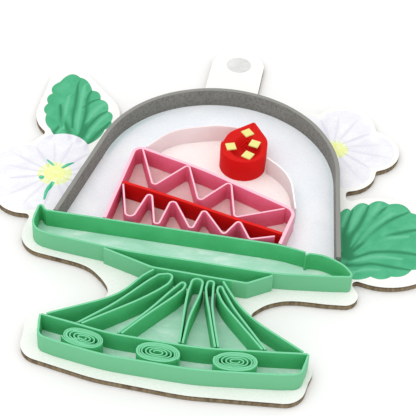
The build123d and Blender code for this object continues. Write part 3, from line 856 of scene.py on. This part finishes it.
# The print's blossoms: where each is, its first petal's direction in degrees, and its petals' places
BLOSSOMS = (((-41.65, 1.03), 92), ((25.65, 26.53), -67))
PETALS = 5
PETAL_TURN = 360 / PETALS
PETAL_REACH = 8.8
PETAL_RADIUS = 7.0
# Their yellow hearts, and the ring where flecks lie round them
LEFT_HEART = (-41.6, 1.2)
RIGHT_HEART = (26.2, 25.9)
FLECKS = 9
FLECK_START = 17
FLECK_TURN = 360 / FLECKS
# The dome's round part, whose glass has a teal edge
DOME_CENTRE = (-1.845, 7.826)

# How many points are drawn along a leaf's lobe and along a stretch of a brush stroke
LOBE_STEPS = 8
STROKE_STEPS = 4


def arc(centre, radius, start, end, step=6):
    """Points along an arc, angles in degrees, both ends included."""
    count = max(2, ceil(abs(end - start) / step))
    angles = [radians(start + (end - start) * k / count) for k in range(count + 1)]
    return [Vector((centre[0] + radius * cos(a), centre[1] + radius * sin(a))) for a in angles]


def scalloped(notches, crowns):
    """Leaf outline: a rounded lobe from each notch to the next, through its crown."""
    out = []
    for k, (notch, crown) in enumerate(zip(notches, crowns)):
        a, b, c = Vector(notch), Vector(crown), Vector(notches[(k + 1) % len(notches)])
        control = 2 * b - (a + c) / 2
        for t in (j / LOBE_STEPS for j in range(LOBE_STEPS)):
            out.append(a * (1 - t) ** 2 + control * 2 * t * (1 - t) + c * t ** 2)
    return out


def petals(centre, first_angle):
    """Outlines of a blossom's five petals."""
    out = []
    for k in range(PETALS):
        angle = radians(first_angle + PETAL_TURN * k)
        middle = (centre[0] + PETAL_REACH * cos(angle), centre[1] + PETAL_REACH * sin(angle))
        out.append(arc(middle, PETAL_RADIUS, 0, 354, 8))
    return out


def stroke(points, widths):
    """Left side, middle, right side and half widths of a brush stroke that bends softly through points."""
    points = [Vector(p) for p in points]
    middle, wide = [], []
    for k in range(len(points) - 1):
        a, b = points[k], points[k + 1]
        before, after = points[max(k - 1, 0)], points[min(k + 2, len(points) - 1)]
        for t in (j / STROKE_STEPS for j in range(STROKE_STEPS)):
            leave, arrive = (b - before) / 2, (after - a) / 2
            middle.append(
                a * (2 * t ** 3 - 3 * t ** 2 + 1) + b * (3 * t ** 2 - 2 * t ** 3)
                + leave * (t ** 3 - 2 * t ** 2 + t) + arrive * (t ** 3 - t ** 2)
            )
            wide.append(widths[k] * (1 - t) + widths[k + 1] * t)
    middle.append(points[-1])
    wide.append(widths[-1])
    left, right = [], []
    for k, (point, width) in enumerate(zip(middle, wide)):
        along = (middle[min(k + 1, len(middle) - 1)] - middle[max(k - 1, 0)]).normalized()
        side = Vector((-along.y, along.x)) * width / 2
        left.append(point + side)
        right.append(point - side)
    return left, middle, right, [width / 2 for width in wide]


def brushed(points, widths):
    """Closed outline of a brush stroke."""
    left, _, right, _ = stroke(points, widths)
    return right + list(reversed(left))


def tone_at(place, brushes, behind_glass):
    """Sum of the strokes over a point, fading from each middle line to its sides."""
    total = 0.0
    for middle, half_widths, tone, on_glass, (x0, x1, y0, y1) in brushes:
        if on_glass != behind_glass or not (x0 < place.x < x1 and y0 < place.y < y1):
            continue
        best = 0.0
        for k in range(len(middle) - 1):
            a, b = middle[k], middle[k + 1]
            share = min(1.0, max(0.0, (place - a).dot(b - a) / (b - a).length_squared))
            half = half_widths[k] * (1 - share) + half_widths[k + 1] * share
            best = max(best, 1 - (a + (b - a) * share - place).length / half)
        total += best * tone
    return max(-1.0, min(1.0, total))


# Leaves: the notches between their lobes, and each lobe's crown
left_leaf_notches = [
    (-33.3, 20.5), (-32.4, 24.2), (-34.1, 28.0), (-37.1, 32.4), (-40.1, 35.6), (-44.6, 40.4), (-49.4, 37.4),
    (-50.1, 32.2), (-50.2, 27.8), (-49.5, 23.3), (-47.0, 17.8), (-43.0, 14.0), (-36.0, 14.0),
]
left_leaf_crowns = [
    (-32.1, 22.4), (-32.6, 26.8), (-35.0, 31.2), (-38.1, 35.0), (-42.2, 39.2), (-47.4, 41.2), (-50.8, 34.8),
    (-51.0, 30.2), (-50.7, 25.4), (-48.9, 20.2), (-45.2, 15.4), (-39.5, 12.6), (-34.0, 17.0),
]
right_leaf_notches = [
    (30.0, 2.4), (32.4, 3.6), (36.6, 6.6), (41.6, 7.9), (47.2, 6.0), (51.2, 1.6), (53.4, -3.4),
    (52.8, -9.0), (48.6, -13.8), (44.0, -17.0), (39.3, -18.0), (33.6, -19.6), (30.0, -16.0),
]
right_leaf_crowns = [
    (31.3, 4.1), (34.4, 6.7), (38.9, 8.6), (44.8, 8.5), (50.0, 4.8), (53.2, -0.6), (54.9, -5.8),
    (51.4, -12.2), (46.8, -16.2), (41.8, -18.4), (36.6, -19.6), (31.0, -18.8), (29.0, -6.0),
]
dome_loop = joined(lines["dome"])
cream_loop = joined(lines["cream_left"], lines["cream_right"])

# Fields of the print from the lowest layer up: outline and material
fields = [
    (dome_loop, dome_wash),
    (scalloped(left_leaf_notches, left_leaf_crowns), leaf_wash),
    (scalloped(right_leaf_notches, right_leaf_crowns), leaf_wash),
]
fields += [(loop, petal_wash) for centre, first_angle in BLOSSOMS for loop in petals(centre, first_angle)]
fields += [
    (arc(LEFT_HEART, 4.3, 0, 345, 15), fleck_wash),
    (arc((-41.6, 1.3), 2.75, 0, 345, 15), heart_wash),
    (arc(RIGHT_HEART, 3.4, 0, 345, 15), fleck_wash),
    (arc((26.4, 25.9), 2.35, 0, 345, 15), heart_wash),
    (brushed([(-44.9, 6.0), (-43.7, 5.0), (-42.6, 4.1)], [0.3, 0.8, 0.5]), teal_wash),
    (brushed([(-40.4, 3.6), (-39.3, 5.1), (-37.9, 6.3)], [0.6, 1.0, 0.3]), teal_wash),
    (arc((-44.5, -0.8), 0.75, 0, 320, 40), teal_wash),
    (brushed([(-41.2, -1.8), (-41.6, -3.7), (-42.0, -5.7), (-41.8, -8.6)], [0.9, 1.3, 0.9, 0.5]), teal_wash),
    (arc((-3.6, 55.4), 3.4, 0, 345, 15), grey_wash),
    (dome_loop, dome_wash),
    (cream_loop, cream_wash),
    (cake_loop, cake_wash),
    (foot_loop, mint_wash),
    (band_loop, mint_wash),
    (collar_loop, mint_wash),
    (plate_loop, mint_wash),
]

# Brush strokes that melt away at their sides: points, widths, and how much darker, or below 0 paler, they are
strokes = [
    ([(-46.6, 14.2), (-45.7, 16.6), (-45.2, 19.4)], [2.4, 2.7, 0.9], 1.0),
    ([(-41.4, 15.6), (-42.4, 18.2), (-44.2, 21.0), (-45.5, 23.7), (-47.0, 28.0)], [2.1, 2.85, 2.85, 2.55, 1.2], 1.0),
    ([(-41.6, 19.5), (-42.6, 24.3), (-43.0, 28.6), (-43.9, 34.1), (-44.4, 37.0)], [0.9, 2.1, 2.25, 1.8, 0.9], 1.0),
    ([(-39.2, 14.5), (-39.2, 20.4), (-39.7, 26.4), (-40.6, 31.4), (-40.3, 35.4)], [1.8, 2.85, 2.85, 2.4, 1.05], 1.0),
    ([(-38.6, 14.5), (-38.0, 18.6), (-37.2, 22.3), (-35.9, 25.8), (-34.3, 28.0)], [2.4, 3.0, 2.55, 1.95, 0.75], 1.0),
    ([(-36.4, 13.2), (-35.0, 17.6), (-33.6, 21.2), (-32.6, 24.0)], [2.4, 2.7, 2.1, 0.9], 1.0),
    ([(-41.0, 28.0), (-39.0, 31.2), (-37.2, 32.6)], [0.75, 1.5, 0.6], 1.0),
    ([(-39.8, 17.6), (-40.6, 22.0), (-41.3, 26.6), (-42.0, 32.4), (-42.6, 37.0)], [1.2, 2.55, 3.0, 2.7, 1.35], -1.0),
    ([(-37.0, 16.4), (-36.4, 20.0), (-35.3, 23.6), (-33.9, 26.6)], [1.2, 2.25, 2.25, 1.05], -1.0),
    ([(-38.6, 22.6), (-37.9, 26.0), (-36.8, 29.0), (-35.6, 31.2)], [0.9, 2.4, 2.85, 1.5], -1.0),
    ([(-43.6, 18.4), (-44.6, 22.0), (-45.0, 26.0), (-45.6, 32.0)], [0.75, 1.5, 2.25, 1.2], -1.0),
    ([(-44.8, 17.0), (-43.9, 19.4)], [1.5, 0.75], -1.0),
    ([(32.3, -10.0), (31.7, -5.2), (32.2, -0.7), (32.9, 3.6)], [3.3, 2.7, 1.95, 0.75], 1.0),
    ([(32.4, -11.8), (33.3, -6.0), (34.9, -1.6), (35.9, 2.4), (36.7, 6.4)], [3.6, 2.85, 2.4, 2.1, 0.9], 1.0),
    ([(32.7, -12.0), (34.5, -7.6), (36.2, -2.2), (38.4, 2.6), (40.8, 6.4)], [2.7, 2.25, 1.95, 2.4, 1.2], 1.0),
    ([(32.9, -12.6), (35.2, -8.4), (37.8, -3.6), (41.4, 1.4), (46.0, 5.6)], [2.7, 2.25, 2.1, 2.4, 1.05], 1.0),
    ([(33.2, -13.0), (36.0, -8.6), (40.2, -4.8), (46.0, -1.2), (51.0, 1.2)], [2.4, 2.1, 1.95, 2.25, 1.05], 1.0),
    ([(33.4, -13.4), (36.4, -11.6), (39.6, -9.6), (45.6, -8.4), (52.6, -8.6)], [2.4, 1.95, 1.95, 2.25, 1.05], 1.0),
    ([(33.6, -15.4), (36.4, -14.8), (39.2, -13.7), (43.6, -13.8), (48.4, -13.9)], [2.4, 2.25, 1.8, 1.95, 0.9], 1.0),
    ([(32.9, -3.6), (33.7, 0.4), (34.7, 4.0), (35.5, 6.2)], [1.05, 2.1, 2.55, 1.35], -1.0),
    ([(33.6, -9.4), (35.1, -4.6), (36.7, -0.4), (38.2, 4.0), (39.2, 7.8)], [1.05, 1.65, 1.8, 2.85, 1.8], -1.0),
    ([(33.8, -10.6), (36.4, -5.4), (39.0, -0.6), (42.4, 4.6)], [0.9, 1.8, 2.25, 1.8], -1.0),
    ([(34.6, -11.0), (37.6, -7.2), (41.2, -4.4), (47.0, -2.6)], [0.75, 1.95, 2.4, 1.35], -1.0),
    ([(34.8, -13.8), (37.4, -12.3), (40.6, -10.9), (46.0, -10.6)], [0.9, 2.1, 2.25, 1.2], -1.0),
    ([(35.6, -17.2), (38.0, -15.9), (41.0, -15.4)], [1.2, 2.25, 1.2], -1.0),
    ([(31.0, -2.6), (31.3, 0.4), (31.9, 3.4)], [1.2, 1.8, 1.05], -1.0),
]
# Teal edge of the glass, inside the dome's line on both sides
glass_strokes = [
    (arc(DOME_CENTRE, 28.6, 172, 128, 7), [1.6, 2.4, 2.6, 2.6, 2.4, 2.0, 1.4, 0.8], 0.55),
    (
        arc(DOME_CENTRE, 28.7, 48, 4, 9) + [(28.3, -2.0), (29.6, -12.0)],
        [0.6, 1.6, 2.0, 2.0, 2.0, 2.0, 1.8, 0.9], 0.35,
    ),
]


def spoke(centre, angle, reaches):
    """Points at some distances from a centre in one direction, in degrees."""
    way = radians(angle)
    return [(centre[0] + reach * cos(way), centre[1] + reach * sin(way)) for reach in reaches]


# Lilac shade between and along the petals: each petal's three strokes by their turn, reach and strength
PETAL_FOOT = 3.4
for centre, first_angle in BLOSSOMS:
    for k in range(PETALS):
        for turn, reach, tone in ((-36, 11.0, 1.0), (-9, 12.5, 0.8), (12, 11.5, 0.7)):
            shade = spoke(centre, first_angle + PETAL_TURN * k + turn, (PETAL_FOOT, (PETAL_FOOT + reach) / 2, reach))
            strokes.append((shade, [0.6, 2.2, 0.8], tone))
# Flecks round the hearts
for centre in (LEFT_HEART, RIGHT_HEART):
    for k in range(FLECKS):
        strokes.append((spoke(centre, FLECK_START + FLECK_TURN * k, (2.7, 3.4, 4.1)), [0.5, 0.8, 0.3], 0.8))


def span(points):
    """Lowest and highest x, then lowest and highest y."""
    return min(p.x for p in points), max(p.x for p in points), min(p.y for p in points), max(p.y for p in points)


def print_piece():
    """Sheet whose face is divided into the fields of the print; its cut edge is scorched like the board's."""
    brushes = []
    for group, on_glass in ((strokes, False), (glass_strokes, True)):
        for points, widths, tone in group:
            left, middle, right, half_widths = stroke(points, widths)
            brushes.append((middle, half_widths, tone, on_glass, span(left + right)))
    loops = [board_outline] + [loop for loop, _ in fields]
    loops += [brushed(points, widths) for points, widths, _ in strokes + glass_strokes]
    points, edges = [], []
    for loop in loops:
        edges += [(len(points) + k, len(points) + (k + 1) % len(loop)) for k in range(len(loop))]
        points += loop
    for middle, *_ in brushes:
        edges += [(len(points) + k, len(points) + k + 1) for k in range(len(middle) - 1)]
        points += middle
    verts, _, faces, _, _, _ = delaunay_2d_cdt(points, edges, [], 1, SAME_OUTLINE_POINT)
    # The second material is the cut edge's
    materials = [printed_white, greyboard]
    for _, material in fields:
        if material not in materials:
            materials.append(material)
    spans = [span(loop) for loop, _ in fields]
    shape = bmesh.new()
    tones = shape.verts.layers.float.new("tone")
    top = []
    for place in verts:
        vert = shape.verts.new((place.x, place.y, PRINT_TOP))
        vert[tones] = tone_at(place, brushes, inside(place, dome_loop))
        top.append(vert)
    for corners in faces:
        centre = sum((verts[k] for k in corners), Vector((0, 0))) / len(corners)
        if not inside(centre, board_outline):
            continue
        index = 0
        for (loop, material), (x0, x1, y0, y1) in zip(fields, spans):
            if x0 < centre.x < x1 and y0 < centre.y < y1 and inside(centre, loop):
                index = materials.index(material)
        face = shape.faces.new([top[k] for k in corners])
        face.material_index = index
    bmesh.ops.delete(shape, geom=[v for v in shape.verts if not v.link_faces], context="VERTS")
    for face in shape.faces:
        if face.normal.z < 0:
            face.normal_flip()
    upper = list(shape.faces)
    rim = [loop for face in upper for loop in face.loops if len(loop.edge.link_faces) == 1]
    rim = [(loop.vert, loop.link_loop_next.vert) for loop in rim]
    twin = {vert: shape.verts.new((vert.co.x, vert.co.y, SHEET_BOTTOM)) for vert in list(shape.verts)}
    for face in upper:
        shape.faces.new([twin[v] for v in reversed(face.verts)])
    for a, b in rim:
        wall = shape.faces.new((b, a, twin[a], twin[b]))
        wall.material_index = materials.index(greyboard)
    mesh_piece("print", shape, materials, "printed_sheet")


print_piece()


# Table, light and camera


def matt_table():
    """Sheet of matt white card, smooth, with a barely seen unevenness."""
    material, tree, shader = plain_material("matt_white_table", 0.9, 0.1)
    place = add(tree, "ShaderNodeTexCoord").outputs["Object"]
    cloud = add(tree, "ShaderNodeTexNoise", {"Vector": place, "Scale": 1 / (25 * MM), "Detail": 2.0}).outputs["Fac"]
    white = add(tree, "ShaderNodeValToRGB", {"Fac": cloud}, [(0.3, "#F0F0EF"), (0.7, "#F3F3F2")]).outputs["Color"]
    tree.links.new(white, shader.inputs["Base Color"])
    return material


# A table 6 m wide, 0.2 mm below the board
TABLE_REACH = 3.0
TABLE_LEVEL = -0.2 * MM
corners = [(x * TABLE_REACH, y * TABLE_REACH, TABLE_LEVEL) for x, y in ((-1, -1), (1, -1), (1, 1), (-1, 1))]
mesh = bpy.data.meshes.new("table")
mesh.from_pydata(corners, [], [(0, 1, 2, 3)])
mesh.materials.append(matt_table())
table = bpy.data.objects.new("table", mesh)
bpy.context.scene.collection.objects.link(table)

world = bpy.data.worlds.new("studio")
world.use_nodes = True
world.node_tree.nodes["Background"].inputs["Color"].default_value = (1.0, 1.0, 1.0, 1.0)
world.node_tree.nodes["Background"].inputs["Strength"].default_value = 1.0
bpy.context.scene.world = world

# A large soft window to the left and above, 0.8 m across, in watts
window = bpy.data.lights.new("window", "AREA")
window.shape = "DISK"
window.size = 0.8
window.energy = 2.4
holder = bpy.data.objects.new("window", window)
bpy.context.scene.collection.objects.link(holder)
window_place = Vector((-0.2, -0.25, 0.9))
holder.matrix_world = Matrix.Translation(window_place) @ window_place.to_track_quat("Z", "Y").to_matrix().to_4x4()

# Camera: 43 degrees above the picture, turned 7.7 degrees to its right, and rolled 3.2 degrees
ELEVATION = radians(43)
TURN = radians(7.662)
ROLL = radians(3.223)
DISTANCE = 350.0
TARGET = Vector((-2.032, -2.9737, PRINT_TOP))
FOCAL_PIXELS = 1429.75
PICTURE_PIXELS = 416

back = Vector((sin(TURN) * cos(ELEVATION), -cos(TURN) * cos(ELEVATION), sin(ELEVATION)))
right = Vector((cos(TURN), sin(TURN), 0))
up = back.cross(right)
rolled_right = right * cos(ROLL) + up * sin(ROLL)
rolled_up = up * cos(ROLL) - right * sin(ROLL)
lens = bpy.data.cameras.new("camera")
lens.sensor_width = 36.0
lens.lens = FOCAL_PIXELS / PICTURE_PIXELS * lens.sensor_width
lens.clip_start = 0.01
camera = bpy.data.objects.new("camera", lens)
bpy.context.scene.collection.objects.link(camera)
turned = Matrix((rolled_right, rolled_up, back)).transposed().to_4x4()
camera.matrix_world = Matrix.Translation((TARGET + back * DISTANCE) * MM) @ turned
bpy.context.scene.camera = camera
bpy.context.scene.view_settings.view_transform = "Standard"
